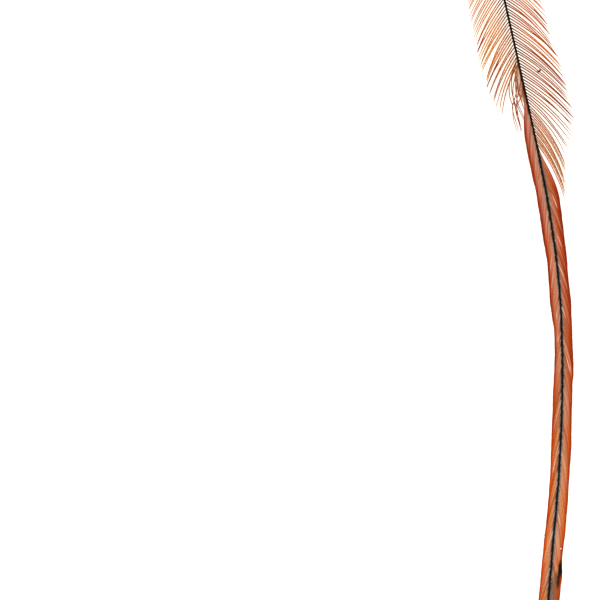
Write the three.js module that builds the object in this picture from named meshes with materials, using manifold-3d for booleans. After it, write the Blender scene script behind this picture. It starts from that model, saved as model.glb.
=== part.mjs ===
// A dry fly hackle feather: one long, slender saddle feather of a rooster, lying on its underside.
// The quill's cut base points along +Y and the feather's tip along -Y, with +Z up from the surface.
// Lengths are in millimetres. A station is a distance along the stem, from the quill's base.
// A profile is a list of [station, value] pairs, with straight lines between them.

import * as THREE from "three";
import { mergeVertices } from "three/addons/utils/BufferGeometryUtils.js";
import Module from "manifold-3d";

// Route of the stem seen from above, as [x, y], from the quill's base to just past the stem's end
const STEM_ROUTE = [
  [-7.6, 75.8],
  [-5.15, 64.6],
  [-2.6, 53.4],
  [-0.4, 43.6],
  [1.8, 33.8],
  [4.0, 24.0],
  [5.9, 14.2],
  [7.35, 3.0],
  [7.75, -9.6],
  [7.3, -22.2],
  [6.25, -34.8],
  [5.35, -46.0],
  [4.3, -57.2],
  [3.3, -67.0],
  [2.5, -74.4],
];

// Stem: eight-sided, with one flat side down
const STEM_LENGTH = 149.5;
const STEM_SIDES = 8;
const STEM_STEPS = 60;
const STEM_RADIUS = [
  [0, 0.4],
  [1.5, 0.5],
  [10, 0.46],
  [18, 0.29],
  [33, 0.19],
  [60, 0.16],
  [118, 0.12],
  [149.5, 0.06],
];
// Height of the stem's underside above the surface: the quill lies flat, the open vane is arched
const STEM_LIFT = [
  [0, 0],
  [11, 0],
  [24, 0.9],
  [42, 1.1],
  [58, 0.35],
  [112, 0.3],
  [140, 0.1],
  [153, 0.04],
];

// Closed vane: the barbs of both sides folded against the stem into one narrow ribbon
const RIBBON_START = 42;
const RIBBON_END = 152.4;
const RIBBON_ROWS = 62;
const RIBBON_COLUMNS = 8;
const RIBBON_LEFT_WIDTH = [
  [42, 0.1],
  [44, 0.3],
  [47.4, 0.55],
  [50.2, 1.15],
  [54, 1.5],
  [60, 1.38],
  [67, 1.42],
  [70, 1.3],
  [75.5, 1.42],
  [80, 1.04],
  [85, 1.08],
  [92, 1.3],
  [101, 1.15],
  [116, 1.38],
  [132, 1.1],
  [145, 0.65],
  [152.4, 0.14],
];
const RIBBON_RIGHT_WIDTH = [
  [42, 0.1],
  [52.6, 0.12],
  [54.5, 0.52],
  [57.4, 1.35],
  [61.5, 1.72],
  [67, 1.52],
  [73, 1.4],
  [80, 1.47],
  [85, 1.6],
  [91.5, 1.4],
  [98, 1.55],
  [110, 1.6],
  [120, 1.55],
  [134, 1.22],
  [146, 0.7],
  [152.4, 0.14],
];
const RIBBON_THICKNESS_MIDDLE = 0.3;
const RIBBON_THICKNESS_EDGE = 0.16;
// How far the ribbon's edges hang below its middle, and how the fall grows towards them
const RIBBON_DROOP = 0.32;
const RIBBON_DROOP_CURVE = 1.5;
// Shallow ridges where bundles of barbs lie side by side, slanting out towards the tip
const RIDGE_HEIGHT = 0.05;
const RIDGE_SPACING = 5.4;
const RIDGE_SLANT = 2.6;
// Bundle tips that stand a little out of the ribbon's edges
const EDGE_STEP = 0.07;
const EDGE_STEP_SPACING = 3.6;

// Locks: bundles of open barbs that stand away from the stem
const LOCK_STEPS = 6;
const LOCK_WIDTHS = [0.2, 0.74, 0.8, 0.74, 0.6, 0.4, 0.14];
const LOCK_THICKNESS_ROOT = 0.2;
const LOCK_THICKNESS_TIP = 0.16;
const LOCK_TIP_GAP = 0.01;

// Each side of the open vane: where its locks start and stop, and how they lean away from the stem
const RIGHT_VANE = {
  side: 1,
  start: 11.6,
  end: 53.6,
  spacing: 1.5,
  curl: 0.85,
  droop: 1.3,
  length: [
    [11, 5.8],
    [15, 6.4],
    [22, 7.1],
    [26.8, 7.7],
    [28.8, 8.3],
    [33.7, 9.2],
    [37, 9.8],
    [44, 9.7],
    [47.5, 8.7],
    [49, 9.4],
    [54, 8.7],
  ],
  rootAngle: [
    [11, 72],
    [17, 56],
    [33, 49],
    [44, 48],
    [46.5, 44],
    [48.5, 35],
    [54, 28],
  ],
  tipAngle: [
    [11, 56],
    [17, 36],
    [33, 25],
    [44, 30],
    [46.5, 25],
    [48.5, 7],
    [54, 4],
  ],
  widthShare: 1,
};
const LEFT_VANE = {
  side: -1,
  start: 12.3,
  end: 44.6,
  spacing: 1.5,
  curl: 1.2,
  droop: 1.3,
  length: [
    [11, 5.8],
    [15, 6.3],
    [22, 7.1],
    [27, 7.5],
    [33, 7.9],
    [41, 7.7],
    [44, 7.3],
  ],
  rootAngle: [
    [11, 72],
    [17, 56],
    [33, 49],
    [40, 47],
    [42, 42],
    [44.6, 24],
  ],
  tipAngle: [
    [11, 60],
    [17, 41],
    [33, 33],
    [40, 30],
    [42, 18],
    [44.6, 6],
  ],
  widthShare: 1,
};
// A few bundles that reach past the end of the stem
const TIP_LOCK_STATIONS = [143.2, 145.1, 147.0, 148.6];
const TIP_LOCK_LENGTH = 5.2;
const TIP_LOCK_ROOT_ANGLE = 11;
const TIP_LOCK_TIP_ANGLE = 3;
const TIP_LOCK_WIDTH_SHARE = 0.5;

const FEATHER_COLOR = 0xb86a42;
const FEATHER_ROUGHNESS = 0.62;

const MERGE_DISTANCE = 1e-4;
const UP = new THREE.Vector3(0, 0, 1);
const FLAT_SIDE_SHARE = Math.cos(Math.PI / STEM_SIDES);

const stemCurve = new THREE.CatmullRomCurve3(STEM_ROUTE.map(([x, y]) => new THREE.Vector3(x, y, 0)));
const routeLength = stemCurve.getLength();

const wasm = await Module();
wasm.setup();

function valueAt(profile, station) {
  const next = profile.findIndex(([place]) => place > station);
  if (next < 0) return profile[profile.length - 1][1];
  if (next === 0) return profile[0][1];
  const [startPlace, startValue] = profile[next - 1];
  const [endPlace, endValue] = profile[next];
  return THREE.MathUtils.mapLinear(station, startPlace, endPlace, startValue, endValue);
}

// The level direction to the right of a level direction, seen from above with the tip downwards
function rightOf(direction) {
  return new THREE.Vector3(-direction.y, direction.x, 0);
}

// Centre of the stem at a station, with the level directions along it to the tip and across it
function stemFrame(station) {
  const share = THREE.MathUtils.clamp(station / routeLength, 0, 1);
  const centre = stemCurve.getPointAt(share);
  centre.z = valueAt(STEM_LIFT, station) + valueAt(STEM_RADIUS, station) * FLAT_SIDE_SHARE;
  const along = stemCurve.getTangentAt(share);
  return { centre, along, across: rightOf(along) };
}

// Moves every corner of a geometry to where place(corner) puts it
function shape(geometry, place) {
  const corners = geometry.getAttribute("position");
  const corner = new THREE.Vector3();
  for (let i = 0; i < corners.count; i += 1) {
    corner.fromBufferAttribute(corners, i);
    const placed = place(corner);
    corners.setXYZ(i, placed.x, placed.y, placed.z);
  }
  return geometry;
}

function solidOf(geometry) {
  geometry.deleteAttribute("normal");
  geometry.deleteAttribute("uv");
  const merged = mergeVertices(geometry, MERGE_DISTANCE);
  const mesh = new wasm.Mesh({
    numProp: 3,
    vertProperties: new Float32Array(merged.getAttribute("position").array),
    triVerts: new Uint32Array(merged.index.array),
  });
  return new wasm.Manifold(mesh);
}

function makeStem() {
  const turn = Math.PI / STEM_SIDES;
  const round = new THREE.CylinderGeometry(1, 1, 1, STEM_SIDES, STEM_STEPS, false, turn);
  return shape(round, (corner) => {
    const station = (0.5 - corner.y) * STEM_LENGTH;
    const radius = valueAt(STEM_RADIUS, station);
    const { centre, across } = stemFrame(station);
    return centre.addScaledVector(across, corner.x * radius).addScaledVector(UP, corner.z * radius);
  });
}

function makeRibbon() {
  const sheet = new THREE.BoxGeometry(2, 1, 1, RIBBON_COLUMNS, RIBBON_ROWS, 1);
  return shape(sheet, (corner) => {
    const station = THREE.MathUtils.lerp(RIBBON_START, RIBBON_END, 0.5 - corner.y);
    const outward = Math.abs(corner.x);
    const widths = corner.x < 0 ? RIBBON_LEFT_WIDTH : RIBBON_RIGHT_WIDTH;
    const bundle = (station / EDGE_STEP_SPACING + (corner.x < 0 ? 0.5 : 0)) % 1;
    const width = valueAt(widths, station);
    const fullness = Math.min(width, 1);
    const reach = width + EDGE_STEP * bundle * outward * fullness;
    const thickness = THREE.MathUtils.lerp(RIBBON_THICKNESS_MIDDLE, RIBBON_THICKNESS_EDGE, outward);
    const ridgePhase = (2 * Math.PI * (station - RIDGE_SLANT * reach * outward)) / RIDGE_SPACING;
    const ridge = RIDGE_HEIGHT * fullness * Math.sin(ridgePhase) * Math.sin(Math.PI * outward);
    const { centre, across } = stemFrame(station);
    centre.z = Math.max(centre.z - RIBBON_DROOP * outward ** RIBBON_DROOP_CURVE, thickness / 2);
    centre.z += corner.z * thickness + (corner.z > 0 ? ridge : 0);
    return centre.addScaledVector(across, Math.sign(corner.x) * outward * reach);
  });
}

// Points down the middle of one lock, with its heading at each
function lockPath(vane, station) {
  const { centre, along, across } = stemFrame(station);
  const stepLength = valueAt(vane.length, station) / LOCK_STEPS;
  const rootAngle = valueAt(vane.rootAngle, station);
  const tipAngle = valueAt(vane.tipAngle, station);
  const headingAt = (share) => {
    const angle = THREE.MathUtils.degToRad(THREE.MathUtils.lerp(rootAngle, tipAngle, share ** vane.curl));
    const heading = along.clone().multiplyScalar(Math.cos(angle));
    return heading.addScaledVector(across, vane.side * Math.sin(angle));
  };
  const tipHeight = LOCK_THICKNESS_TIP / 2 + LOCK_TIP_GAP;
  const path = [{ point: centre.clone(), heading: headingAt(0) }];
  for (let step = 1; step <= LOCK_STEPS; step += 1) {
    const share = step / LOCK_STEPS;
    const middle = (step - 0.5) / LOCK_STEPS;
    const point = path[step - 1].point.clone().addScaledVector(headingAt(middle), stepLength);
    point.z = THREE.MathUtils.lerp(centre.z, tipHeight, share ** vane.droop);
    path.push({ point, heading: headingAt(share) });
  }
  return path;
}

function makeLock(vane, station) {
  const path = lockPath(vane, station);
  const blade = new THREE.BoxGeometry(1, 1, 1, 1, LOCK_STEPS, 1);
  return shape(blade, (corner) => {
    const step = Math.round((0.5 - corner.y) * LOCK_STEPS);
    const { point, heading } = path[step];
    const width = LOCK_WIDTHS[step] * vane.widthShare;
    const thickness = THREE.MathUtils.lerp(LOCK_THICKNESS_ROOT, LOCK_THICKNESS_TIP, step / LOCK_STEPS);
    const placed = point.clone().addScaledVector(rightOf(heading), corner.x * width);
    return placed.addScaledVector(UP, corner.z * thickness);
  });
}

function makeVaneLocks(vane) {
  const count = Math.floor((vane.end - vane.start) / vane.spacing) + 1;
  const stations = Array.from({ length: count }, (_, index) => vane.start + index * vane.spacing);
  return stations.map((station) => makeLock(vane, station));
}

function makeTipLocks() {
  return TIP_LOCK_STATIONS.map((station, index) => {
    const bundle = {
      side: index % 2 === 0 ? 1 : -1,
      curl: 1,
      droop: 1,
      length: [[0, TIP_LOCK_LENGTH]],
      rootAngle: [[0, TIP_LOCK_ROOT_ANGLE]],
      tipAngle: [[0, TIP_LOCK_TIP_ANGLE]],
      widthShare: TIP_LOCK_WIDTH_SHARE,
    };
    return makeLock(bundle, station);
  });
}

function makeFeather() {
  const shapes = [
    makeStem(),
    makeRibbon(),
    ...makeVaneLocks(LEFT_VANE),
    ...makeVaneLocks(RIGHT_VANE),
    ...makeTipLocks(),
  ];
  const whole = shapes.map(solidOf).reduce((joined, next) => joined.add(next));
  const { vertProperties, triVerts } = whole.getMesh();
  const geometry = new THREE.BufferGeometry();
  geometry.setAttribute("position", new THREE.BufferAttribute(vertProperties, 3));
  geometry.setIndex(new THREE.BufferAttribute(triVerts, 1));
  geometry.computeVertexNormals();
  const barbs = new THREE.MeshStandardMaterial({
    color: FEATHER_COLOR,
    roughness: FEATHER_ROUGHNESS,
    metalness: 0,
  });
  const mesh = new THREE.Mesh(geometry, barbs);
  mesh.name = "feather";
  return mesh;
}

const hackle = new THREE.Group();
hackle.add(makeFeather());

export default hackle;
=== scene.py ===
import math

import bmesh
import bpy
import numpy as np
from mathutils import Matrix, Vector


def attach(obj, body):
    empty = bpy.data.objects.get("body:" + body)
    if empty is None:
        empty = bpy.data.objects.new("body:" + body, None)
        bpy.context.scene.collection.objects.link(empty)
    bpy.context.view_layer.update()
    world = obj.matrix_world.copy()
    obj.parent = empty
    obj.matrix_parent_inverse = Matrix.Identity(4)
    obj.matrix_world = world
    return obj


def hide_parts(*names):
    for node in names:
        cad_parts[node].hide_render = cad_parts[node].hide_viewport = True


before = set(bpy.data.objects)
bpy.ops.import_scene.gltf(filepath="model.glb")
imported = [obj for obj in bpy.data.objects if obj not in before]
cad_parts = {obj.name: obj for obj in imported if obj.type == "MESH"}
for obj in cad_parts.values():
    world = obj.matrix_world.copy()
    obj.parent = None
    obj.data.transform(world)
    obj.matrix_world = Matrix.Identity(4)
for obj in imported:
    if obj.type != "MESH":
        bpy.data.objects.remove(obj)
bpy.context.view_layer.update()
scene = bpy.context.scene

# A dry fly hackle feather, lying on its underside on a pale table and seen from straight above.
# Lengths are in millimetres until a mesh is made. A station is a distance along the stem from the
# quill's base. A profile is a list of (place, value) pairs; its places are stations, or shares of a
# barb's length from root to tip. A stretch is given as (start, length).

MM = 0.001

# Photograph: its scale, its size, and the place on the part that lies under its middle
MM_PER_PIXEL = 0.14
PHOTO_PIXELS = 600
PHOTO_MIDDLE = (-28.95, 1.59)

# Stem: the route that the solid follows, from the quill's base to the stem's fine end
STEM_ROUTE = (
    (-7.6, 75.8), (-5.15, 64.6), (-2.6, 53.4), (-0.4, 43.6), (1.8, 33.8), (4, 24),
    (5.9, 14.2), (7.35, 3), (7.75, -9.6), (7.3, -22.2), (6.25, -34.8), (5.35, -46),
    (4.3, -57.2), (3.3, -67), (2.5, -74.4),
)
ROUTE_STEPS = 40
STEM_LENGTH = 149.5
STEM_RADIUS = (
    (0, 0.4), (1.5, 0.5), (10, 0.46), (18, 0.28), (33, 0.165), (60, 0.142), (118, 0.115), (149.5, 0.05),
)
STEM_END_RADIUS = 0.03
# How high the stem's flat underside is above the table
STEM_LIFT = ((0, 0), (11, 0), (24, 0.9), (42, 1.1), (58, 0.35), (112, 0.3), (140, 0.1), (153, 0.04))
# How far above that underside the stem's middle is, as a share of its radius
FLAT_SIDE_SHARE = math.cos(math.pi / 8)
STEM_SIDES = 16
STEM_STEP = 1.0
# The groove under the rachis, for a ring's corners whose turn has a sine below the last value
GROOVE_START = 14
GROOVE_DEPTH_SHARE = 0.45
GROOVE_BELOW = -0.9
# The small round opening in the quill's cut end, as (station, radius), from its floor out to the rim
QUILL_MOUTH = ((1.3, 0.14), (0.35, 0.2), (0.06, 0.24), (0, 0.3), (0.05, 0.36), (0.2, 0.41), (0.6, 0.45))

# Closed vane, a ribbon of folded barbs along the stem, and how far its edges are from the stem
RIBBON_LEFT_WIDTH = (
    (44, 0.3), (47.4, 0.58), (48.8, 0.8), (50.2, 1.15), (51.6, 1.35), (53.1, 1.5), (54.5, 1.54),
    (57.4, 1.48), (60.2, 1.4), (67.3, 1.44), (70.2, 1.3), (73, 1.4), (75.8, 1.46), (77.2, 1.36),
    (78.6, 1.22), (79.8, 1.04), (82.8, 1.02), (85.6, 1.1), (88.4, 1.27), (92.6, 1.32), (96.8, 1.26),
    (101, 1.17), (106.6, 1.2), (110.8, 1.27), (115, 1.34), (118, 1.4), (126, 1.25), (136, 0.98),
    (145, 0.62), (153, 0.16),
)
RIBBON_RIGHT_WIDTH = (
    (53, 0.1), (54.5, 0.55), (55.9, 0.96), (57.4, 1.36), (58.8, 1.54), (60.2, 1.68), (61.6, 1.74),
    (64.4, 1.64), (67.3, 1.53), (70.2, 1.52), (73, 1.42), (75.8, 1.52), (78.6, 1.5), (81.4, 1.48),
    (84.2, 1.6), (86.8, 1.58), (87.4, 1.46), (89.8, 1.48), (91.2, 1.41), (92.6, 1.43), (95.4, 1.55),
    (98.2, 1.56), (101, 1.49), (103.8, 1.57), (108, 1.63), (111.2, 1.5), (112.4, 1.5), (113.6, 1.66),
    (115, 1.68), (118, 1.6), (126, 1.42), (136, 1.1), (145, 0.68), (153, 0.16),
)
RIBBON_SMOOTHING = 0.3
# How far the edges hang below the stem, the power of the way out that this grows with, and the lowest
RIBBON_DROOP = 0.32
RIBBON_DROOP_CURVE = 1.5
RIBBON_LOWEST = 0.1
# How far along the stem a folded barb reaches
RIBBON_BARB_LENGTH = ((40, 8.8), (120, 8.6), (138, 7), (148, 4.6))
RIBBON_LENGTH_JITTER = 0.04
# How it makes its way out to the edge: evenly at 1, and sooner above it
RIBBON_SPREAD = 2.0
# The step out that it starts with, in shares of that way and of its length
ROOT_STEP = 0.07
ROOT_STEP_LENGTH = 0.012
RIBBON_SPACING = 0.38
RIBBON_SPACING_JITTER = 0.03
RIBBON_END = 149.0
# The share of that way that the barbs make, less and less where they close the tip
TIP_REACH = ((142, 1), (149, 0.15))
# About how far short of the edge a barb can stay, once by its own draw and once by its pair's
RAGGED_EDGE = 0.04
RAGGED_EDGE_JITTER = 0.7
# How much higher a pair of barbs can arch than another, and the spread of single ones
PAIR_ARCH = 0.05
RIBBON_ARCH_JITTER = 0.012
# How full the folded barbs are: they grow finer towards the tip
TIP_SLIMNESS = ((118, 1), (134, 0.66), (144, 0.42), (149, 0.3))
# How dark their roots are
ROOT_FADES = ((118, 1), (134, 0.6), (144, 0.2), (149, 0))
# Pale streaks where a barb catches the light, as (side, station, distance from the stem, half length)
PALE_STREAKS = (
    (1, 77.2, 0.32, 1.5), (1, 84.9, 0.86, 1.5), (1, 85.6, 1.12, 1), (-1, 73.4, 0.94, 2),
    (-1, 77.9, 0.62, 0.8), (-1, 81.2, 0.5, 0.6), (-1, 82.8, 0.78, 0.5), (1, 67.5, 0.75, 1.2),
    (-1, 60.5, 0.6, 1.4), (1, 95, 0.8, 0.9), (-1, 99, 0.7, 1.1), (1, 106.5, 0.6, 1.2),
    (-1, 109.5, 0.85, 0.9), (1, 115.6, 1.15, 0.7), (-1, 122, 0.6, 1.3), (1, 128, 0.7, 1.2),
    (-1, 79.5, 1.02, 0.7), (1, 87, 1.42, 0.6), (1, 62, 1, 1.3), (-1, 70.6, 0.8, 1.4),
    (1, 71.8, 0.5, 1),
)
STREAK_STRENGTH = 0.5
STREAK_SHARPNESS = 1.6
# Faint streaks on a few other barbs: the palest, and the stretch where they end
FAINT_STREAKS = 0.25
FAINT_STREAK_ENDS = (0.35, 0.3)
# The stain on the right edge, as (station, distance from the stem, half length, half width, strength)
STAINS = (
    (113.3, 1.38, 1.3, 0.42, 1), (114.7, 1.16, 1.7, 0.24, 0.95), (115.1, 0.8, 1.3, 0.16, 0.6),
    (116.4, 0.6, 2.4, 0.5, 0.5), (118.2, 1, 1.8, 0.4, 0.4),
)
# Where each of its patches ends, in its own half sizes, and how sharply
STAIN_RIM = 1.15
STAIN_SHARPNESS = 2.2
# The share of the barbs that it blackens, and how much of it the other ones show
STAINED_SHARE = 0.85
STAIN_ON_OTHERS = 0.3

# The two vanes, each from its open barbs to its folded ones. Angles are in degrees from the stem.
#   side: 1 on the stem's right and -1 on its left
#   start, end, ribbon_start: stations of the open barbs, and of the first folded one
#   length, root_angle, tip_angle: of an open barb, by its station
#   curl: open barbs bend evenly at 1, sooner below it and later above it
#   root_reach, ribbon_root: how far the dark roots of open and of folded barbs reach
#   joined: dark strands, as (station, share of its barbs' length where it begins)
#   web: how webby the open barbs are
#   ribbon_width: how far the ribbon's edge is from the stem
#   ribbon_warm, ribbon_depth, ribbon_pale: how much the folded barbs have of the lower ribbon's warm
#   colouring, of the edge's deep red and of the paleness beside the stem
RIGHT_VANE = {
    "side": 1, "seed": 11, "start": 14, "end": 53.7, "ribbon_start": 53.8,
    "length": (
        (13, 6), (17, 6.6), (22, 7.2), (26.8, 7.8), (28.8, 8.4), (31.7, 9), (33.7, 9.35), (36.6, 9.9),
        (44, 9.8), (46.5, 9.2), (47.5, 8.8), (49, 9.5), (54, 8.8),
    ),
    "root_angle": ((13, 60), (17, 56), (33, 49), (44, 48), (46.5, 44), (48.5, 35), (54, 28)),
    "tip_angle": ((13, 44), (17, 36), (33, 25), (44, 30), (46.5, 25), (48.5, 7), (54, 4)),
    "curl": 0.85, "root_reach": 0.6, "ribbon_root": 0.12,
    "joined": (
        (20.4, 0.4), (26.1, 0.3), (31, 0.5), (34.2, 0.35), (37.2, 0.5), (38.6, 0.25), (40.3, 0.38),
        (44.6, 0.6),
    ),
    "web": ((46.2, 0), (48.6, 1)),
    "ribbon_width": RIBBON_RIGHT_WIDTH,
    "ribbon_warm": ((54, 0.75), (59, 0.5), (65, 0), (75, 0), (100, 1)),
    "ribbon_depth": ((54, 0.25), (62, 0.3)),
    "ribbon_pale": ((54, 0.12), (62, 0), (84, 0), (90, 0.16)),
}
LEFT_VANE = {
    "side": -1, "seed": 23, "start": 14, "end": 42.2, "ribbon_start": 44.4,
    "length": ((13, 5.6), (17, 6.5), (22, 7.2), (27, 7.6), (33, 8), (41, 7.8), (44, 7.4)),
    "root_angle": ((13, 60), (17, 55), (33, 49), (40, 47), (42, 42), (44.6, 24)),
    "tip_angle": ((13, 46), (17, 40), (33, 33), (40, 30), (42, 18), (44.6, 6)),
    "curl": 1.2, "root_reach": 1.4, "ribbon_root": 0.15,
    "joined": ((19, 0.4), (27.5, 0.35), (33.6, 0.5), (38.8, 0.3)),
    "web": ((30, 0.5), (36, 1.1)),
    "ribbon_width": RIBBON_LEFT_WIDTH,
    "ribbon_warm": ((75, 0.25), (100, 1)),
    "ribbon_depth": ((44, 0.9), (54, 0.8), (64, 0.3), (76, 0.1)),
    "ribbon_pale": ((44, 0.22), (56, 0.24), (66, 0.16), (84, 0.12), (92, 0)),
}

# Open barbs: the distance between them, and their spread in place, length, angles and height
OPEN_SPACING = 0.46
OPEN_SPACING_JITTER = 0.025
OPEN_LENGTH_JITTER = 0.018
ROOT_ANGLE_JITTER = 0.7
TIP_ANGLE_JITTER = 1.8
ROOT_HEIGHT_JITTER = 0.02
TIP_HEIGHT_JITTER = 0.12
# The lowest height of their tips, and the power of the way there that they fall with
TIP_LOWEST = 0.06
OPEN_DROOP_CURVE = 1.3
# Barbs at a small angle to the stem have less room, are slimmer and have shorter dark roots. The room is 1
# at 45 degrees: how full a barb is without any, what it adds, and the power that the roots grow with.
NO_ROOM_FULLNESS = 0.3
ROOM_FULLNESS = 0.7
ROOM_ROOT_CURVE = 3
# Locks of open barbs: how many barbs, the share of their length where they begin to close, how far they
# close, and over which share. A strand is two barbs that close nearly fully and darken.
LOCK_SIZES = (1, 2, 2, 2, 3, 3)
LOCK_BEGINS = (0.12, 0.4)
LOCK_CLOSENESS = (0.1, 0.65)
STRAND_SIZE = 2
STRAND_CLOSENESS = 0.94
LOCK_CLOSES_OVER = 0.45
# The stretch past its beginning where a strand darkens
STRAND_DARKENS = (0.1, 0.25)
# How much of their closeness a lock's tips lose, and the stretch where they part
TIPS_PART = 0.3
TIPS_PART_AT = (0.8, 0.2)
# The most web that a lock can have by chance, as one in three has
CHANCE_WEB = 0.9
CHANCE_WEB_LOCKS = (0, 0, 1)
# How warm the open barbs are, and the least and the most of it that one can have
OPEN_WARMTH = ((18, 0.5), (26, 1.3), (35, 1.3), (41, 0))
WARMTH_SHARES = (0.3, 1)
# The part of a barb's tint that it has in common with its lock, and with its pair in the ribbon
LOCK_TINT = 0.5
PAIR_TINT = 0.65
# How much of its tint a folded barb shows, by station
RIBBON_TINT_SHOWS = ((52, 0.5), (64, 1))
# A folded barb's dark root reaches one of these shares of its vane's value
RIBBON_ROOT_SHARES = (0.15, 0.8, 1.5)
# The edge's deep red rises with this many times the way out, less the start. Each barb has a share of it.
DEPTH_GROWTH = 1.4
DEPTH_STARTS = 0.4
DEPTH_SHARES = (0.1, 1.5)
# How much darker a folded barb can be by chance, which few are
ODD_DARK = 0.45
# The stretch of the way out where the paleness beside the stem ends
RIBBON_PALE_ENDS = (0.55, 0.3)

# A ruffled lock where the left vane closes. Each barb goes through these points, given as
# (station, distance from the stem).
RUFFLED_BARBS = (
    (
        (41.4, 0.1), (43.4, 1.25), (44.9, 1.96), (46.5, 2.22),
        (47.8, 2.1), (49, 2.36), (50.4, 2.36), (52, 2.1),
    ),
    (
        (41.7, 0.1), (43, 0.95), (44.5, 1.56), (46, 1.8),
        (47.2, 1.75), (48.5, 1.6), (49.7, 1.7), (51.2, 1.75),
    ),
    ((42.2, 0.1), (44, 0.96), (45.3, 1.5), (46.8, 1.8), (47.9, 1.8), (49.5, 1.66), (52, 1.6)),
    ((42.6, 0.1), (43.8, 0.7), (45.1, 1.1), (46.6, 1.3), (47.7, 1.3), (48.9, 1.05), (50.2, 0.9)),
    (
        (43.2, 0.1), (44.9, 0.81), (46.1, 1.25), (47.2, 1.8),
        (47.9, 2.2), (48.9, 2.24), (49.9, 2.15), (51.6, 2),
    ),
    ((44.2, 0.1), (45.5, 0.59), (46.7, 1.2), (47.5, 1.5), (48.7, 1.3), (50.2, 0.98)),
    ((45.2, 0.1), (46.3, 0.4), (47.2, 1), (48, 1.72), (49, 1.85), (50.3, 1.75), (51.6, 1.75)),
    ((42, 0.1), (43.6, 0.5), (45, 0.76), (46.4, 0.85), (47.6, 0.72), (48.8, 0.62)),
    ((43, 0.1), (44.4, 0.34), (45.6, 0.52), (46.8, 0.5), (48, 0.44)),
    ((43.8, 0.1), (44.8, 0.3), (46, 0.66), (47, 0.76), (48.2, 0.72)),
)
# Pale barbs that lie between that lock and the stem
LOCK_FILL_BARBS = (
    ((41.2, 0.1), (42.4, 0.5), (43.8, 0.86), (45.4, 1.06), (46.8, 1)),
    ((41.9, 0.1), (43.1, 0.46), (44.4, 0.76), (45.8, 0.9), (47.2, 0.82)),
    ((42.5, 0.1), (43.6, 0.4), (44.9, 0.62), (46.2, 0.7), (47.6, 0.6)),
    ((43.1, 0.1), (44.1, 0.32), (45.3, 0.47), (46.6, 0.52), (48, 0.42)),
    ((43.8, 0.1), (44.7, 0.24), (45.8, 0.33), (47, 0.35), (48.2, 0.3)),
)
# Half width of those barbs, from root to tip
RUFFLED_BARB_WIDTH = ((0, 0.045), (0.3, 0.055), (0.7, 0.055), (0.92, 0.042), (1, 0.012))
LOCK_FILL_WIDTH = ((0, 0.06), (0.2, 0.085), (0.7, 0.08), (1, 0.012))
LOCK_FILL_PALENESS = 0.5
RUFFLED_CURVE_STEPS = 12
# The share of the stem's height that they fall by, and the least and the most that they arch
RUFFLED_DROOP = 0.85
RUFFLED_ARCHES = (0, 0.3)
RUFFLED_ROOT_REACH = 0.2
RUFFLED_TINTS = (0.3, 1)
# How dark the ruffled ones are, and how much darker where they cross: at this share of their length, so far
RUFFLED_DARKNESS = 0.3
CROSSING_DARKNESS = 0.4
CROSSING_PLACE = 0.55
CROSSING_REACH = 0.12
# How webby they are, and where that ends: at this share of their length, over that share
RUFFLED_WEB = 0.5
RUFFLED_WEB_END = 0.66
RUFFLED_WEB_FADE = 0.15

# A barb's tube: its steps, the power that packs them near the root, its sides, and its height as a share of
# its width
BARB_STEPS = 22
STEP_CURVE = 1.4
BARB_SIDES = 6
BARB_FLATNESS = 0.8
# Half width of a barb, from root to tip
OPEN_BARB_WIDTH = ((0, 0.085), (0.1, 0.09), (0.3, 0.084), (0.5, 0.079), (0.85, 0.056), (1, 0.008))
RIBBON_BARB_WIDTH = (
    (0, 0.105), (0.03, 0.118), (0.1, 0.115), (0.2, 0.104), (0.6, 0.088), (0.9, 0.048), (1, 0.01),
)
DOWN_BARB_WIDTH = ((0, 0.04), (0.3, 0.028), (1, 0.008))

# Barbules, the fine hairs on both sides of a barb: how many to a side, half their width, how far up the
# barb's side they grow, as a share of its half width, and their length and angle along it
OPEN_BARBULES = {
    "count": 120, "half_width": 0.028, "rise": 0,
    "length": ((0, 0.11), (0.12, 0.14), (0.6, 0.14), (0.9, 0.1), (1, 0.05)),
    "angle": ((0, 46), (1, 34)),
}
RIBBON_BARBULES = {
    "count": 50, "half_width": 0.018, "rise": 0.6,
    "length": ((0, 0.08), (0.1, 0.2), (0.7, 0.22), (1, 0.08)),
    "angle": ((0, 30), (1, 18)),
}
DOWN_BARBULES = {
    "count": 46, "half_width": 0.012, "rise": 0,
    "length": ((0, 0.25), (0.3, 0.5), (0.8, 0.42), (1, 0.15)),
    "angle": ((0, 62), (1, 38)),
}
# The first and the last one's place on a barb, the spread of place and angle, the least and the most of
# length and added tint, and the lean upwards as (middle, spread)
BARBULE_ENDS = (0.02, 0.97)
BARBULE_PLACE_JITTER = 0.004
BARBULE_ANGLE_JITTER = 4
BARBULE_LENGTHS = (0.75, 1.2)
BARBULE_TINTS = (-0.6, 0.5)
BARBULE_LEAN = (-0.1, 0.12)
# How much slimmer web makes open barbs, and how much longer and fuller it makes barbules
WEB_SLIMNESS = 0.28
WEB_REACH = 0.7
WEB_FULLNESS = 0.5
# How much fuller the barbules of warm open barbs are
WARM_FULLNESS = 0.35
# How much thicker the barbs of a strand are
JOINED_SWELL = 0.85

# The fluff at the vane's foot
DOWN_START = 10.8
DOWN_END = 15.4
DOWN_SPACING = 0.3
DOWN_SPACING_JITTER = 0.05
DOWN_SEED = 5
# Its barbs' length, the least and the most of it that one has, and how short they are next to the quill
DOWN_LENGTH = 7.4
DOWN_LENGTH_SHARES = (0.62, 1)
DOWN_SHORT_BARBS = ((10.8, 0.7), (12.5, 1))
# Their angle, how much of it they lose by their tips, and how far they wander
DOWN_ANGLES = (62, 84)
DOWN_BENDS = (26, 48)
DOWN_WANDER = 22
# The height of their tips, how high they arch and wander up and down, and the lowest they lie
DOWN_TIP_HEIGHTS = (0.08, 0.5)
DOWN_ARCHES = (0.1, 0.75)
DOWN_RIPPLE = 0.12
DOWN_LOWEST = 0.06
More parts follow.
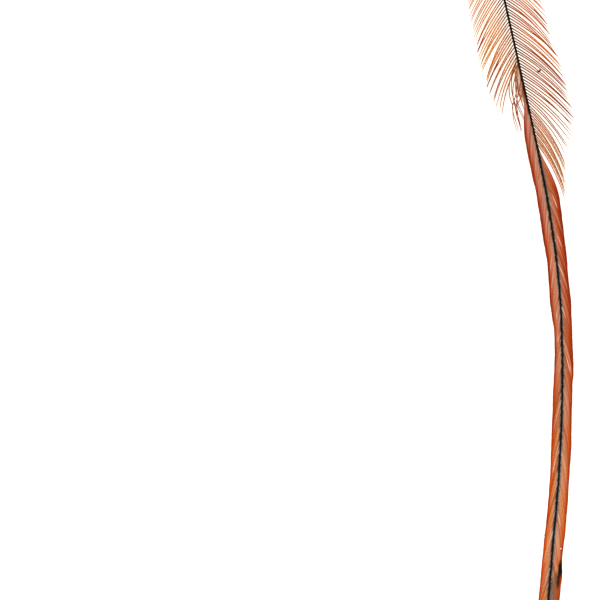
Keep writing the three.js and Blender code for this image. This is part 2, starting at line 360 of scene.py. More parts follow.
# How many waves a wandering barb has, and the least and the most of their size
WANDER_WAVES = (1.2, 2.6)
WANDER_SHARES = (0.4, 1)

# Dust caught on the feather, as (place on the part, half lengths, turn in degrees, paleness)
DUST = (
    ((4.56, 33.68, 1.16), (0.21, 0.14, 0.06), 42, 0), ((4.32, 33.48, 1.14), (0.15, 0.12, 0.06), -15, 0),
    ((7.52, -33.2, 0.5), (0.11, 0.09, 0.06), 0, 1), ((5.3, -31.24, 0.3), (0.12, 0.07, 0.05), 70, 0.1),
)
DUST_SEED = 3
# How far the corners of a flake are from its middle, as shares of its half lengths
FLAKE_REACH = (0.75, 1.1)

# Room, in metres: half the table's side, the camera's height, and its sensor's width in millimetres
TABLE_HALF_SIDE = 3
CAMERA_HEIGHT = 0.6
SENSOR_WIDTH = 36


def value_at(profile, place):
    """A profile's value at one place, or at each of several."""
    places, values = zip(*profile)
    return np.interp(place, places, values)


def smooth_value(profile, station, reach=0.5):
    """A profile's value with its corners rounded off over the given reach."""
    return sum(value_at(profile, station + shift) for shift in (-reach, 0, reach)) / 3


def length_along(points):
    """How far along a curve each of its points is."""
    return np.concatenate([[0], np.cumsum(np.linalg.norm(np.diff(points, axis=0), axis=1))])


def rows_at(places, known, rows):
    """Rows of numbers at the given places, drawn in between the known places' rows."""
    return np.stack([np.interp(places, known, column) for column in rows.T], -1)


def curve_through(points, steps):
    """Points along the smooth centripetal curve through the given ones, with its ends drawn on."""
    points = [np.array(point, float) for point in points]
    points = [2 * points[0] - points[1], *points, 2 * points[-1] - points[-2]]
    found = []
    for before, start, end, after in zip(points, points[1:], points[2:], points[3:]):
        gaps = [math.sqrt(np.linalg.norm(b - a)) for a, b in ((before, start), (start, end), (end, after))]
        leave = (start - before) / gaps[0] - (end - before) / (gaps[0] + gaps[1]) + (end - start) / gaps[1]
        arrive = (end - start) / gaps[1] - (after - start) / (gaps[1] + gaps[2]) + (after - end) / gaps[2]
        for share in np.arange(steps) / steps:
            square, cube = share * share, share * share * share
            found.append(
                (2 * cube - 3 * square + 1) * start
                + (cube - 2 * square + share) * leave * gaps[1]
                + (3 * square - 2 * cube) * end
                + (cube - square) * arrive * gaps[1]
            )
    return np.array([*found, points[-2]])


route = curve_through(STEM_ROUTE, ROUTE_STEPS)
route_stations = length_along(route)
route_headings = np.gradient(route, route_stations, axis=0)


def stem_plan(station):
    """Place of the stem's middle seen from above, its heading to the tip, and the way to its right."""
    station = np.asarray(station, float)
    heading = rows_at(station, route_stations, route_headings)
    heading /= np.linalg.norm(heading, axis=-1, keepdims=True)
    place = rows_at(station, route_stations, route)
    place = place + heading * np.maximum(station - route_stations[-1], 0)[..., None]
    right = np.stack([-heading[..., 1], heading[..., 0]], -1)
    return place, heading, right


def stem_height(station):
    """Height of the stem's middle."""
    return value_at(STEM_LIFT, station) + value_at(STEM_RADIUS, station) * FLAT_SIDE_SHARE


def put_in_scene(name, data):
    """Puts a mesh, lamp or camera into the scene."""
    thing = bpy.data.objects.new(name, data)
    scene.collection.objects.link(thing)
    return thing


def finish_piece(name, mesh, material):
    """Puts a mesh into the scene as a piece on the root body, and hides the feather part that it takes the
    place of.
    """
    mesh.shade_smooth()
    mesh.materials.append(material)
    piece = put_in_scene(name, mesh)
    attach(piece, "root")
    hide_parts("feather")


def mesh_from(maker, name):
    """Turns a mesh in the making into a finished one."""
    mesh = bpy.data.meshes.new(name)
    maker.to_mesh(mesh)
    maker.free()
    return mesh


# Materials

# A mix node's colour inputs and output share their names with others, so they go by number
MIX_COLOURS = (6, 7)
MIX_RESULT = 2


def srgb(code):
    """A six-digit colour code as Blender's linear colour."""
    parts = [int(code[k : k + 2], 16) / 255 for k in (0, 2, 4)]
    return tuple(p / 12.92 if p <= 0.04045 else ((p + 0.055) / 1.055) ** 2.4 for p in parts) + (1.0,)


class Shader:
    """A material's nodes."""

    def __init__(self, name):
        self.material = bpy.data.materials.new(name)
        self.material.use_nodes = True
        self.tree = self.material.node_tree
        self.surface = self.tree.nodes["Principled BSDF"]

    def add(self, kind, **settings):
        node = self.tree.nodes.new(kind)
        for name, value in settings.items():
            setattr(node, name, value)
        return node

    def join(self, source, target):
        self.tree.links.new(source, target)

    def attribute(self, name):
        return self.add("ShaderNodeAttribute", attribute_name=name).outputs["Fac"]

    def tinge(self, colour, fact, code):
        return self.mix(self.attribute(fact), colour, srgb(code))

    def ramp(self, factor, *stops):
        node = self.add("ShaderNodeValToRGB")
        elements = node.color_ramp.elements
        while len(elements) < len(stops):
            elements.new(0.5)
        for element, (place, code) in zip(elements, stops):
            element.position = place
            element.color = srgb(code)
        self.join(factor, node.inputs["Fac"])
        return node.outputs["Color"]

    def mix(self, factor, first, second, blend="MIX"):
        node = self.add("ShaderNodeMix", data_type="RGBA", blend_type=blend)
        sockets = (node.inputs["Factor"], *(node.inputs[number] for number in MIX_COLOURS))
        for socket, value in zip(sockets, (factor, first, second)):
            if isinstance(value, bpy.types.NodeSocket):
                self.join(value, socket)
            else:
                socket.default_value = value
        return node.outputs[MIX_RESULT]

    def noise(self, scale, stretch=(1, 1, 1), detail=2.0):
        """A noise pattern on the piece's own place in space."""
        place = self.add("ShaderNodeTexCoord").outputs["Object"]
        mapping = self.add("ShaderNodeMapping")
        mapping.inputs["Scale"].default_value = stretch
        self.join(place, mapping.inputs["Vector"])
        pattern = self.add("ShaderNodeTexNoise")
        pattern.inputs["Scale"].default_value = scale
        pattern.inputs["Detail"].default_value = detail
        self.join(mapping.outputs["Vector"], pattern.inputs["Vector"])
        return pattern.outputs["Fac"]

    def bump(self, height, strength, distance):
        node = self.add("ShaderNodeBump")
        node.inputs["Strength"].default_value = strength
        node.inputs["Distance"].default_value = distance
        self.join(height, node.inputs["Height"])
        self.join(node.outputs["Normal"], self.surface.inputs["Normal"])

    def finish(self, colour, roughness, specular):
        self.join(colour, self.surface.inputs["Base Color"])
        self.surface.inputs["Roughness"].default_value = roughness
        self.surface.inputs["Specular IOR Level"].default_value = specular
        return self.material


def barb_material():
    """Barbs: near black at the root, grey-tan by the stem, its grey painted shade of the small gaps between
    the roots, russet and then deep red-brown outwards.
    """
    shader = Shader("russet_barbs")
    along = shader.attribute("along")
    open_colour = shader.ramp(
        along, (0, "8a4208"), (0.12, "9c4a00"), (0.3, "aa5200"), (0.6, "a44c00"),
        (0.85, "923a00"), (1, "7c2a00"),
    )
    # The folded barbs' first grey-blue stops are painted shade: the look of small shaded gaps between their
    # roots beside the stem.
    upper = shader.ramp(
        along, (0, "70747c"), (0.03, "807c7a"), (0.08, "b88062"), (0.22, "c86836"),
        (0.4, "b64402"), (0.6, "9c2800"), (1, "5e0c00"),
    )
    lower = shader.ramp(
        along, (0, "646a72"), (0.045, "78787a"), (0.09, "b48866"), (0.16, "d08a54"),
        (0.3, "d47c32"), (0.5, "d8660c"), (0.72, "c44403"), (1, "781a00"),
    )
    closed_colour = shader.mix(shader.attribute("warm"), upper, lower)
    warm_open = shader.tinge(open_colour, "warm", "d87400")
    colour = shader.mix(shader.attribute("closed"), warm_open, closed_colour)
    open_tint = shader.ramp(shader.attribute("tint"), (0, "c89468"), (0.45, "f0dccc"), (1, "ffffff"))
    closed_tint = shader.ramp(shader.attribute("tint"), (0, "b88f76"), (0.5, "e8d6ca"), (1, "ffffff"))
    tint = shader.mix(shader.attribute("closed"), open_tint, closed_tint)
    colour = shader.mix(1.0, colour, tint, "MULTIPLY")
    grain = shader.noise(scale=9500, detail=3)
    grain_colour = shader.ramp(grain, (0.36, "d6ccc4"), (0.5, "f0e8e2"), (0.64, "ffffff"))
    colour = shader.mix(1.0, colour, grain_colour, "MULTIPLY")
    colour = shader.tinge(colour, "joined", "8e2c02")
    colour = shader.tinge(colour, "pale", "f4d6be")
    root_colour = shader.mix(shader.attribute("closed"), srgb("4c1e00"), srgb("0c0806"))
    colour = shader.mix(shader.attribute("root"), colour, root_colour)
    colour = shader.tinge(colour, "soot", "0c0a08")
    return shader.finish(colour, roughness=0.55, specular=0.05)


def barbule_material():
    """Barbules: paler than the barb that they grow on, and orange-tan."""
    shader = Shader("tan_barbules")
    along = shader.attribute("along")
    colour = shader.ramp(along, (0, "c89058"), (0.08, "e6aa54"), (0.5, "f2a83c"), (1, "e89028"))
    colour = shader.tinge(colour, "web", "ee9c44")
    colour = shader.tinge(colour, "warm", "f8b01c")
    colour = shader.tinge(colour, "joined", "8a2c04")
    return shader.finish(colour, roughness=0.6, specular=0.1)


def down_material():
    """Down: grey-tan, paler towards its tips."""
    shader = Shader("grey_tan_down")
    colour = shader.ramp(shader.attribute("along"), (0, "6a5648"), (0.25, "a08c7c"), (1, "d8c4b0"))
    tint = shader.ramp(shader.attribute("tint"), (0, "c8bcb4"), (1, "ffffff"))
    colour = shader.mix(1.0, colour, tint, "MULTIPLY")
    return shader.finish(colour, roughness=0.7, specular=0.1)


def dust_material():
    """Dust: dark brown chaff and a pale crumb, both mottled."""
    shader = Shader("dust_and_chaff")
    mottle = shader.noise(scale=9000)
    dark = shader.ramp(mottle, (0.3, "120c08"), (0.7, "3a2a20"))
    light = shader.ramp(mottle, (0.3, "e8e4dc"), (0.7, "fbf8f2"))
    colour = shader.mix(shader.attribute("pale"), dark, light)
    shader.bump(mottle, strength=0.4, distance=0.00003)
    return shader.finish(colour, roughness=0.85, specular=0.5)


def stem_material():
    """Stem: pale horn at the quill, near black along the vane."""
    shader = Shader("dark_horn")
    colour = shader.ramp(
        shader.attribute("along"), (0, "c9b9a0"), (0.05, "bda98c"), (0.08, "8a6a4c"), (0.115, "4a3423"),
        (0.16, "1a110a"), (0.2, "1c0803"), (0.32, "160604"), (0.4, "080403"), (1, "080403"),
    )
    mottle = shader.noise(scale=1400, stretch=(1, 0.12, 1), detail=3)
    mottle_colour = shader.ramp(mottle, (0.32, "b8a488"), (0.5, "ece2d2"), (0.66, "ffffff"))
    colour = shader.mix(1.0, colour, mottle_colour, "MULTIPLY")
    furrows = shader.noise(scale=2500, stretch=(1, 0.08, 1))
    shader.bump(furrows, strength=0.25, distance=0.00002)
    return shader.finish(colour, roughness=0.42, specular=0.06)


def floor_material():
    """Table: pale and softly glowing, as bright as the photo's ground."""
    shader = Shader("pale_table")
    shader.surface.inputs["Base Color"].default_value = (0.3, 0.3, 0.298, 1)
    shader.surface.inputs["Roughness"].default_value = 0.75
    shader.surface.inputs["Emission Color"].default_value = (1, 0.96, 0.84, 1)
    shader.surface.inputs["Emission Strength"].default_value = 1.03
    return shader.material


# Stem


def make_stem(material):
    """The quill and rachis: rings drawn out along the stem, flat below, with a groove under the rachis."""
    stations = np.arange(STEM_STEP, STEM_LENGTH, STEM_STEP)
    rings = [*QUILL_MOUTH, *((s, float(value_at(STEM_RADIUS, s))) for s in stations)]
    rings.append((STEM_LENGTH, STEM_END_RADIUS))
    maker = bmesh.new()
    along_layer = maker.verts.layers.float.new("along")
    turn_layer = maker.verts.layers.float.new("turn")
    ring = bmesh.ops.create_circle(maker, cap_ends=True, radius=1, segments=STEM_SIDES)["verts"]
    for corner in ring:
        corner[turn_layer] = math.atan2(corner.co.y, corner.co.x)
    edges = list(maker.edges)
    for station, radius in rings:
        if station != rings[0][0]:
            grown = bmesh.ops.extrude_edge_only(maker, edges=edges)["geom"]
            edges = [e for e in grown if isinstance(e, bmesh.types.BMEdge) and len(e.link_faces) == 1]
            ring = {corner for edge in edges for corner in edge.verts}
        for corner in ring:
            corner.co = stem_point(station, radius, corner[turn_layer])
            corner[along_layer] = station / STEM_LENGTH
    bmesh.ops.contextual_create(maker, geom=edges)
    bmesh.ops.recalc_face_normals(maker, faces=maker.faces)
    maker.verts.layers.float.remove(turn_layer)
    finish_piece("stem", mesh_from(maker, "stem"), material)


def stem_point(station, radius, turn):
    """A point on the stem's skin: turn is the angle round it, from its right side up."""
    place, _, right = stem_plan(station)
    across, up = math.cos(turn) * radius, math.sin(turn) * radius
    if station > GROOVE_START and math.sin(turn) < GROOVE_BELOW:
        up += GROOVE_DEPTH_SHARE * radius
    x, y = place + right * across
    z = max(stem_height(station) + up, value_at(STEM_LIFT, station))
    return Vector((x, y, z)) * MM


# Barbs

# The shares of a barb's length at which its path has points
SHARE = np.linspace(0, 1, BARB_STEPS + 1) ** STEP_CURVE
# How far from the stem's middle the barbs' dark roots begin to fade
STEM_HALF_WIDTH = 0.11
# How high above the table's top the lowest corner of a barb or barbule is
LOWEST = 0.002
# A barbule's four corners are the two of its foot along the barb, the one below them and its point
SPIKE_CORNERS = 4
SPIKE_FACES = np.array([[0, 3, 1], [0, 2, 3], [1, 3, 2], [0, 1, 2]])
# What a barb's look depends on along its length: whether it is folded, its dark root, own tint and warmth,
# how deep red-brown it is in a strand or at the edge, its paleness, the stain, and its web
FACTS = ("closed", "root", "tint", "warm", "joined", "pale", "soot", "web")


class Barbs:
    """The barbs of one piece: each one's path, its half widths and the facts that colour it."""

    def __init__(self):
        self.paths, self.widths = [], []
        self.facts = {fact: [] for fact in FACTS}

    def add(self, path, width, fullness=1.0, **facts):
        """Adds a barb. Facts that aren't given are nothing."""
        self.paths.append(path)
        self.widths.append(value_at(width, SHARE) * fullness)
        for fact in FACTS:
            self.facts[fact].append(np.broadcast_to(facts.get(fact, 0.0), SHARE.shape))


def ease(value):
    """A soft step: nothing up to 0, one from 1 on."""
    value = np.clip(value, 0, 1)
    return value * value * (3 - 2 * value)


def rising(value, start, length):
    """Nothing up to the start, and softly up to one over the given length."""
    return ease((value - start) / length)


def rare(draw, most):
    """A random size, small nearly always and close to the most now and then."""
    return most * draw.uniform() ** 5


def near_stem(distance, reach):
    """One at the stem, falling softly to nothing over the given reach."""
    return 1 - rising(distance, STEM_HALF_WIDTH, reach)


def bent_path(station, side, length, angles):
    """A barb's path seen from above, with steps at the given angles to the stem."""
    place, heading, right = stem_plan(station)
    angles = np.radians(angles)
    steps = np.outer(np.cos(angles), heading) + np.outer(np.sin(angles), right * side)
    steps = steps * (length * np.diff(SHARE))[:, None]
    return place + np.concatenate([[[0, 0]], np.cumsum(steps, axis=0)])


def open_barb(vane, station, draw):
    """One barb of the open vane: a curved path that leaves the stem and droops to the surface."""
    length = smooth_value(vane["length"], station) * (1 + draw.normal(0, OPEN_LENGTH_JITTER))
    root = smooth_value(vane["root_angle"], station) + draw.normal(0, ROOT_ANGLE_JITTER)
    tip = smooth_value(vane["tip_angle"], station) + draw.normal(0, TIP_ANGLE_JITTER)
    middle = (SHARE[:-1] + SHARE[1:]) / 2
    plan = bent_path(station, vane["side"], length, root + (tip - root) * middle ** vane["curl"])
    start = stem_height(station) + draw.normal(0, ROOT_HEIGHT_JITTER)
    end = TIP_LOWEST + abs(draw.normal(0, TIP_HEIGHT_JITTER))
    height = start + (end - start) * SHARE**OPEN_DROOP_CURVE
    return np.column_stack([plan, height])


def plan_locks(stations, strands, draw):
    """Splits barbs into locks: (first, past the last, where they begin to close, how far they close)."""
    locks = []
    first = 0
    while first < len(stations):
        begins = [begin for place, begin in strands if 0 <= place - stations[first] < OPEN_SPACING]
        if begins:
            count, begin, closeness = STRAND_SIZE, begins[0], STRAND_CLOSENESS
        else:
            count = int(draw.choice(LOCK_SIZES))
            begin = draw.uniform(*LOCK_BEGINS)
            closeness = draw.uniform(*LOCK_CLOSENESS)
        past = min(first + count, len(stations))
        locks.append((first, past, begin, closeness))
        first = past
    return locks


def close_lock(paths, begin, closeness):
    """Draws a lock's barbs together from a share of their length on; their tips part again a little."""
    parting = 1 - TIPS_PART * rising(SHARE, *TIPS_PART_AT)
    together = rising(SHARE, begin, LOCK_CLOSES_OVER) * closeness * parting
    middle = np.mean(paths, axis=0)
    return [path + (middle - path) * together[:, None] for path in paths]


def add_open_barbs(barbs, vane, draw):
    """The open vane's barbs, lock by lock."""
    stations = np.arange(vane["start"], vane["end"], OPEN_SPACING)
    stations = stations + draw.normal(0, OPEN_SPACING_JITTER, len(stations))
    paths = [open_barb(vane, station, draw) for station in stations]
    for first, past, begin, closeness in plan_locks(stations, vane["joined"], draw):
        joined = rising(SHARE - begin, *STRAND_DARKENS) * (closeness == STRAND_CLOSENESS)
        tint = draw.uniform(0, 1)
        chance_web = draw.uniform(0, CHANCE_WEB) * draw.choice(CHANCE_WEB_LOCKS)
        web = max(value_at(vane["web"], stations[first]), chance_web)
        for station, path in zip(stations[first:past], close_lock(paths[first:past], begin, closeness)):
            place, _, right = stem_plan(station)
            distance = abs((path[:, :2] - place) @ right)
            room = np.sin(np.radians(value_at(vane["root_angle"], station))) / math.sin(math.pi / 4)
            fullness = min(1, NO_ROOM_FULLNESS + ROOM_FULLNESS * room)
            barbs.add(
                path,
                OPEN_BARB_WIDTH,
                fullness * (1 - WEB_SLIMNESS * web) * (1 + JOINED_SWELL * joined),
                root=near_stem(distance, vane["root_reach"] * room**ROOM_ROOT_CURVE),
                tint=LOCK_TINT * tint + (1 - LOCK_TINT) * draw.uniform(0, 1),
                warm=value_at(OPEN_WARMTH, station) * draw.uniform(*WARMTH_SHARES) * ease(2 * SHARE),
                joined=joined,
                web=web,
            )


def ribbon_coordinates(station, draw):
    """A folded barb as stations along the stem and, for each, its share of the way to the vane's edge."""
    length = value_at(RIBBON_BARB_LENGTH, station) * (1 + draw.normal(0, RIBBON_LENGTH_JITTER))
    start = ROOT_STEP * (1 - np.exp(-SHARE / ROOT_STEP_LENGTH)) * (1 - SHARE)
    return station + length * SHARE, start + 1 - (1 - SHARE) ** RIBBON_SPREAD


def pale_streaks(side, places, distances, draw):
    """How pale each barb is along its length. A streak runs along the barb that passes nearest to it."""
    pale = [rare(draw, FAINT_STREAKS) * (1 - rising(SHARE, *FAINT_STREAK_ENDS)) for _ in places]
    for streak_side, station, away, half in PALE_STREAKS:
        if side == streak_side:
            ways = zip(places, distances)
            gaps = [abs(np.interp(station, *way, left=np.inf, right=np.inf) - away) for way in ways]
            nearest = int(np.argmin(gaps))
            ends = 1 - abs(places[nearest] - station) / half
            bright = STREAK_STRENGTH * ease(STREAK_SHARPNESS * ends)
            pale[nearest] = np.maximum(pale[nearest], bright)
    return pale


def stain_on(side, places, distance, draw):
    """How far the stain blackens a barb along its length. Some of its barbs mostly escape it."""
    stain = np.zeros_like(places)
    if side > 0:
        for station, away, half_length, half_width, strength in STAINS:
            apart = np.hypot((places - station) / half_length, (distance - away) / half_width)
            stain = np.maximum(stain, strength * ease(STAIN_SHARPNESS * (STAIN_RIM - apart)))
    return stain * (1 if draw.uniform() < STAINED_SHARE else STAIN_ON_OTHERS)


def add_ribbon_barbs(barbs, vane, draw):
    """The closed vane's barbs: each leaves the stem at a slant and runs on beside it to the edge."""
    side = vane["side"]
    stations = np.arange(vane["ribbon_start"], RIBBON_END, RIBBON_SPACING)
    pairs = np.repeat(draw.uniform(0, 1, len(stations) // 2 + 1), 2)
    all_places, all_outward = [], []
    for station, pair in zip(stations, pairs):
        places, outward = ribbon_coordinates(station + draw.normal(0, RIBBON_SPACING_JITTER), draw)
        outward = outward * value_at(TIP_REACH, station)
        short = RAGGED_EDGE * abs(draw.normal(0, RAGGED_EDGE_JITTER))
        all_places.append(places)
        all_outward.append(outward * (1 - short - RAGGED_EDGE * pair))
    distances = [
        outward * smooth_value(vane["ribbon_width"], places, RIBBON_SMOOTHING)
        for places, outward in zip(all_places, all_outward)
    ]
    streaks = pale_streaks(side, all_places, distances, draw)
    for pair, places, outward, distance, streak in zip(pairs, all_places, all_outward, distances, streaks):
        place, _, right = stem_plan(places)
        fall = RIBBON_DROOP * np.clip(outward, 0, 1) ** RIBBON_DROOP_CURVE
        arch = (PAIR_ARCH * (pair - 0.5) + draw.normal(0, RIBBON_ARCH_JITTER)) * np.sin(np.pi * SHARE)
        height = np.maximum(stem_height(places) - fall, RIBBON_LOWEST) + arch
        root = near_stem(distance, vane["ribbon_root"] * draw.choice(RIBBON_ROOT_SHARES))
        tint = PAIR_TINT * pair + (1 - PAIR_TINT) * draw.uniform(0, 1)
        depth = value_at(vane["ribbon_depth"], places) * ease(DEPTH_GROWTH * outward - DEPTH_STARTS)
        depth = depth * draw.uniform(*DEPTH_SHARES) + rare(draw, ODD_DARK)
        paleness = value_at(vane["ribbon_pale"], places) * draw.uniform(0, 1)
        barbs.add(
            np.column_stack([place + right * (side * distance)[:, None], height]),
            RIBBON_BARB_WIDTH,
            value_at(TIP_SLIMNESS, places[0]),
            closed=1.0,
            root=root * value_at(ROOT_FADES, places),
            tint=tint * value_at(RIBBON_TINT_SHOWS, places),
            warm=value_at(vane["ribbon_warm"], places),
            joined=depth,
            pale=np.maximum(streak, paleness * (1 - rising(outward, *RIBBON_PALE_ENDS))),
            soot=stain_on(side, places, distance, draw),
        )


def add_ruffled_barbs(barbs, draw):
    """The left side's disordered lock, whose wavy barbs cross one another, and pale barbs beside the stem."""
    for points in RUFFLED_BARBS + LOCK_FILL_BARBS:
        fill = points in LOCK_FILL_BARBS
        curve = curve_through(points, RUFFLED_CURVE_STEPS)
        along = length_along(curve)
        places, distance = rows_at(SHARE * along[-1], along, curve).T
        place, _, right = stem_plan(places)
        arch = draw.uniform(*RUFFLED_ARCHES) * np.sin(np.pi * SHARE)
        height = stem_height(places) * (1 - RUFFLED_DROOP * SHARE) + arch
        crossing = CROSSING_DARKNESS * np.exp(-(((SHARE - CROSSING_PLACE) / CROSSING_REACH) ** 2))
        web = RUFFLED_WEB * ease((RUFFLED_WEB_END - SHARE) / RUFFLED_WEB_FADE)
        barbs.add(
            np.column_stack([place - right * distance[:, None], height]),
            LOCK_FILL_WIDTH if fill else RUFFLED_BARB_WIDTH,
            root=near_stem(distance, RUFFLED_ROOT_REACH),
            tint=draw.uniform(*RUFFLED_TINTS),
            joined=0.0 if fill else RUFFLED_DARKNESS + crossing,
            web=0.0 if fill else web,
            pale=LOCK_FILL_PALENESS * fill,
        )


def across_of(paths):
    """The way ahead, the level way to the right and the way up from each point of each path."""
    ahead = np.gradient(paths, axis=1)
    ahead /= np.linalg.norm(ahead, axis=2, keepdims=True)
    across = np.stack([ahead[..., 1], -ahead[..., 0], np.zeros(ahead.shape[:2])], -1)
    across /= np.linalg.norm(across, axis=2, keepdims=True)
    return ahead, across, np.cross(across, ahead)


def tube_faces():
    """Corner numbers of one closed tube: its quads, the fan round its tip and the face at its root."""
    rings = BARB_STEPS
    step, side = np.meshgrid(np.arange(rings - 1), np.arange(BARB_SIDES), indexing="ij")
    near, beside = step * BARB_SIDES + side, step * BARB_SIDES + (side + 1) % BARB_SIDES
    quads = np.stack([near, beside, beside + BARB_SIDES, near + BARB_SIDES], -1).reshape(-1, 4)
    last = (rings - 1) * BARB_SIDES + np.arange(BARB_SIDES)
    tip = np.full(BARB_SIDES, rings * BARB_SIDES)
    return quads, np.stack([last, np.roll(last, -1), tip], -1), np.arange(BARB_SIDES)[None, ::-1]


def make_tubes(name, barbs, material):
    """Joins a slender closed tube along each barb's path into one piece."""
    paths = np.array(barbs.paths)
    widths = np.array(barbs.widths)[:, :, None, None]
    _, across, up = across_of(paths)
    turn = 2 * np.pi * np.arange(BARB_SIDES)[:, None] / BARB_SIDES
    rings = (across[:, :, None] * np.cos(turn) + up[:, :, None] * np.sin(turn) * BARB_FLATNESS) * widths
    body = (paths[:, :, None] + rings)[:, :-1].reshape(len(paths), -1, 3)
    corners = np.concatenate([body, paths[:, -1:]], axis=1)
    offsets = np.arange(len(paths))[:, None, None] * corners.shape[1]
    faces = []
    for shape in tube_faces():
        faces.extend((offsets + shape).reshape(-1, shape.shape[1]).tolist())
    along = np.concatenate([np.repeat(SHARE[:-1], BARB_SIDES), [1.0]])
    facts = {"along": np.tile(along, len(paths))}
    for fact, values in barbs.facts.items():
        values = np.array(values)
        facts[fact] = np.concatenate([np.repeat(values[:, :-1], BARB_SIDES, axis=1), values[:, -1:]], axis=1)
    make_mesh_piece(name, corners.reshape(-1, 3), faces, facts, material)


def make_barbules(name, barbs, hairs, draw, material, closed=0):
    """Joins the fine pointed hairs on both sides of every open, or folded, barb into one piece."""
    keep = [index for index, kind in enumerate(barbs.facts["closed"]) if kind[0] == closed]
    paths = np.array(barbs.paths)[keep]
    fields = (paths, *across_of(paths))
    count = hairs["count"]
    corners, faces, facts = [], [], {fact: [] for fact in ("along", *FACTS)}
    for barb, index in enumerate(keep):
        for side in (-1, 1):
            jitter = draw.uniform(-BARBULE_PLACE_JITTER, BARBULE_PLACE_JITTER, count)
            share = np.linspace(*BARBULE_ENDS, count) + jitter
            own = {fact: np.interp(share, SHARE, barbs.facts[fact][index]) for fact in FACTS}
            middle, ahead, across, up = (rows_at(share, SHARE, field[barb]) for field in fields)
            angle = value_at(hairs["angle"], share) + draw.normal(0, BARBULE_ANGLE_JITTER, count)
            angle = np.radians(angle)[:, None]
            length = value_at(hairs["length"], share) * (1 + WEB_REACH * own["web"])
            length = (length * draw.uniform(*BARBULE_LENGTHS, count))[:, None]
            lean = draw.normal(*BARBULE_LEAN, count)[:, None]
            middle = middle + up * (hairs["rise"] * np.interp(share, SHARE, barbs.widths[index]))[:, None]
            tip = middle + (np.cos(angle) * ahead + side * np.sin(angle) * across + lean * up) * length
            warm = own["warm"] * (1 - closed)
            half = hairs["half_width"] * (1 + WEB_FULLNESS * own["web"] + WARM_FULLNESS * warm)[:, None]
            spike = (middle - ahead * half, middle + ahead * half, middle - up * half, tip)
            first = SPIKE_CORNERS * (len(corners) * count + np.arange(count)[:, None, None])
            faces.append((first + SPIKE_FACES[:, ::side]).reshape(-1, 3))
            corners.append(np.stack(spike, 1).reshape(-1, 3))
            own["along"] = share
            own["tint"] = np.clip(own["tint"] + draw.uniform(*BARBULE_TINTS, count), 0, 1)
            for fact, values in own.items():
                facts[fact].append(np.repeat(values, SPIKE_CORNERS))
    corners, faces = np.concatenate(corners), np.concatenate(faces).tolist()
    facts = {fact: np.concatenate(values) for fact, values in facts.items()}
    make_mesh_piece(name, corners, faces, facts, material)


def make_mesh_piece(name, corners, faces, facts, material):
    """Makes a piece from arrays. What would reach below the table's top lies flat on it."""
    corners[:, 2] = np.maximum(corners[:, 2], LOWEST)
    mesh = bpy.data.meshes.new(name)
    mesh.from_pydata((corners * MM).tolist(), [], faces)
    for fact, values in facts.items():
        layer = mesh.attributes.new(fact, "FLOAT", "POINT")
        layer.data.foreach_set("value", values.astype(np.float32).ravel())
    finish_piece(name, mesh, material)


def make_vane(name, vane, barb_finish, barbule_finish):
    """One side of the feather: its open, folded and ruffled barbs, and their barbules."""
    draw = np.random.default_rng(vane["seed"])
    barbs = Barbs()
    add_open_barbs(barbs, vane, draw)
    add_ribbon_barbs(barbs, vane, draw)
    if vane["side"] < 0:
        add_ruffled_barbs(barbs, draw)
    make_tubes(name + "_barbs", barbs, barb_finish)
    make_barbules(name + "_barbules", barbs, OPEN_BARBULES, draw, barbule_finish)
    make_barbules(name + "_ribbon_barbules", barbs, RIBBON_BARBULES, draw, barb_finish, closed=1)


def make_down(material):
    """Soft, long and wavy barbs on both sides of the stem where the vane begins."""
    draw = np.random.default_rng(DOWN_SEED)
    barbs = Barbs()
    for side in (-1, 1):
        for station in np.arange(DOWN_START, DOWN_END, DOWN_SPACING):
            station = station + draw.normal(0, DOWN_SPACING_JITTER)
            length = DOWN_LENGTH * draw.uniform(*DOWN_LENGTH_SHARES) * value_at(DOWN_SHORT_BARBS, station)
            angles = draw.uniform(*DOWN_ANGLES) - draw.uniform(*DOWN_BENDS) * SHARE
            angles = angles + wander(draw, DOWN_WANDER)
            plan = bent_path(station, side, length, angles[1:])
            start, end = stem_height(station), draw.uniform(*DOWN_TIP_HEIGHTS)
            height = start + (end - start) * SHARE + draw.uniform(*DOWN_ARCHES) * np.sin(np.pi * SHARE)
            height = np.maximum(height + wander(draw, DOWN_RIPPLE), DOWN_LOWEST)
            barbs.add(np.column_stack([plan, height]), DOWN_BARB_WIDTH, tint=draw.uniform(0, 1))
    make_tubes("down", barbs, material)
    make_barbules("down_barbules", barbs, DOWN_BARBULES, draw, material)


def wander(draw, size):
    """A soft wave along a barb, nothing at its root."""
    waves, phase = draw.uniform(*WANDER_WAVES), draw.uniform(0, 1)
    return size * draw.uniform(*WANDER_SHARES) * SHARE * np.sin(2 * np.pi * (waves * SHARE + phase))


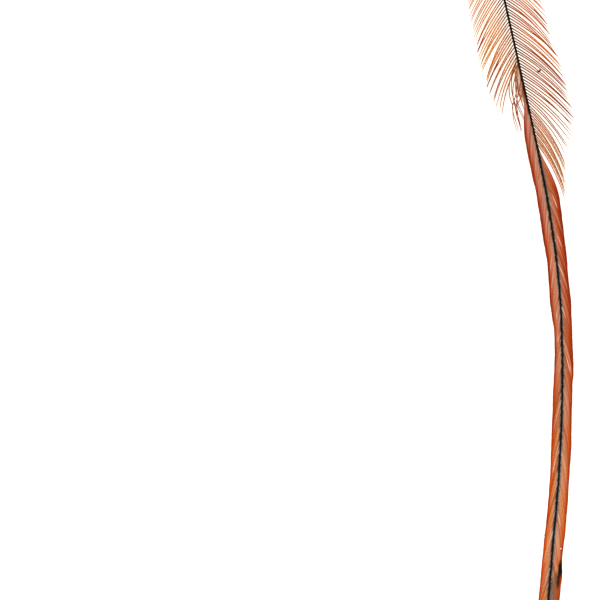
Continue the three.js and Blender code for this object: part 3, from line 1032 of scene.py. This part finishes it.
def make_dust(material):
    """Specks of dust and chaff: small rough flakes lying on the barbs."""
    draw = np.random.default_rng(DUST_SEED)
    maker = bmesh.new()
    pale_layer = maker.verts.layers.float.new("pale")
    for place, halves, turn, pale in DUST:
        flake = bmesh.ops.create_icosphere(maker, subdivisions=2, radius=1)["verts"]
        rough = draw.uniform(*FLAKE_REACH, len(flake))
        for corner, reach in zip(flake, rough):
            corner.co *= float(reach)
            corner[pale_layer] = pale
        bmesh.ops.scale(maker, vec=Vector(halves) * MM, verts=flake)
        bmesh.ops.rotate(maker, matrix=Matrix.Rotation(math.radians(turn), 3, "Z"), verts=flake)
        bmesh.ops.translate(maker, vec=Vector(place) * MM, verts=flake)
    finish_piece("dust_specks", mesh_from(maker, "dust_specks"), material)


# Table, lights and camera


def make_table():
    """The level surface that the feather lies on."""
    maker = bmesh.new()
    bmesh.ops.create_grid(maker, x_segments=1, y_segments=1, size=TABLE_HALF_SIDE)
    mesh = mesh_from(maker, "table")
    mesh.materials.append(floor_material())
    table = put_in_scene("table", mesh)


def add_softbox(name, place, size, power):
    """A square lamp that shines at the feather, in metres and watts."""
    light = bpy.data.lights.new(name, "AREA")
    light.shape = "SQUARE"
    light.size = size
    light.energy = power
    lamp = put_in_scene(name, light)
    lamp.location = place
    lamp.rotation_euler = (-Vector(place)).to_track_quat("-Z", "Y").to_euler()


def set_light():
    """White light from all round, and two large lamps for soft shadows."""
    world = bpy.data.worlds.new("studio")
    world.use_nodes = True
    sky = world.node_tree.nodes["Background"]
    sky.inputs["Color"].default_value = (1, 1, 1, 1)
    sky.inputs["Strength"].default_value = 0.95
    scene.world = world
    add_softbox("softbox_left", place=(-0.6, 0.5, 0.9), size=0.8, power=7)
    add_softbox("softbox_right", place=(0.7, -0.3, 0.8), size=0.8, power=3.5)
    scene.view_settings.view_transform = "Standard"


def set_camera():
    """Straight above the photo's middle, with a long lens that frames what the photo frames."""
    camera = bpy.data.cameras.new("camera")
    camera.sensor_width = SENSOR_WIDTH
    camera.lens = SENSOR_WIDTH * CAMERA_HEIGHT / (PHOTO_PIXELS * MM_PER_PIXEL * MM)
    scene.camera = put_in_scene("camera", camera)
    scene.camera.location = (PHOTO_MIDDLE[0] * MM, PHOTO_MIDDLE[1] * MM, CAMERA_HEIGHT)


set_camera()
set_light()
make_table()
make_stem(stem_material())
barb_finish, barbule_finish = barb_material(), barbule_material()
make_vane("right_vane", RIGHT_VANE, barb_finish, barbule_finish)
make_vane("left_vane", LEFT_VANE, barb_finish, barbule_finish)
make_down(down_material())
make_dust(dust_material())

bpy.context.view_layer.update()
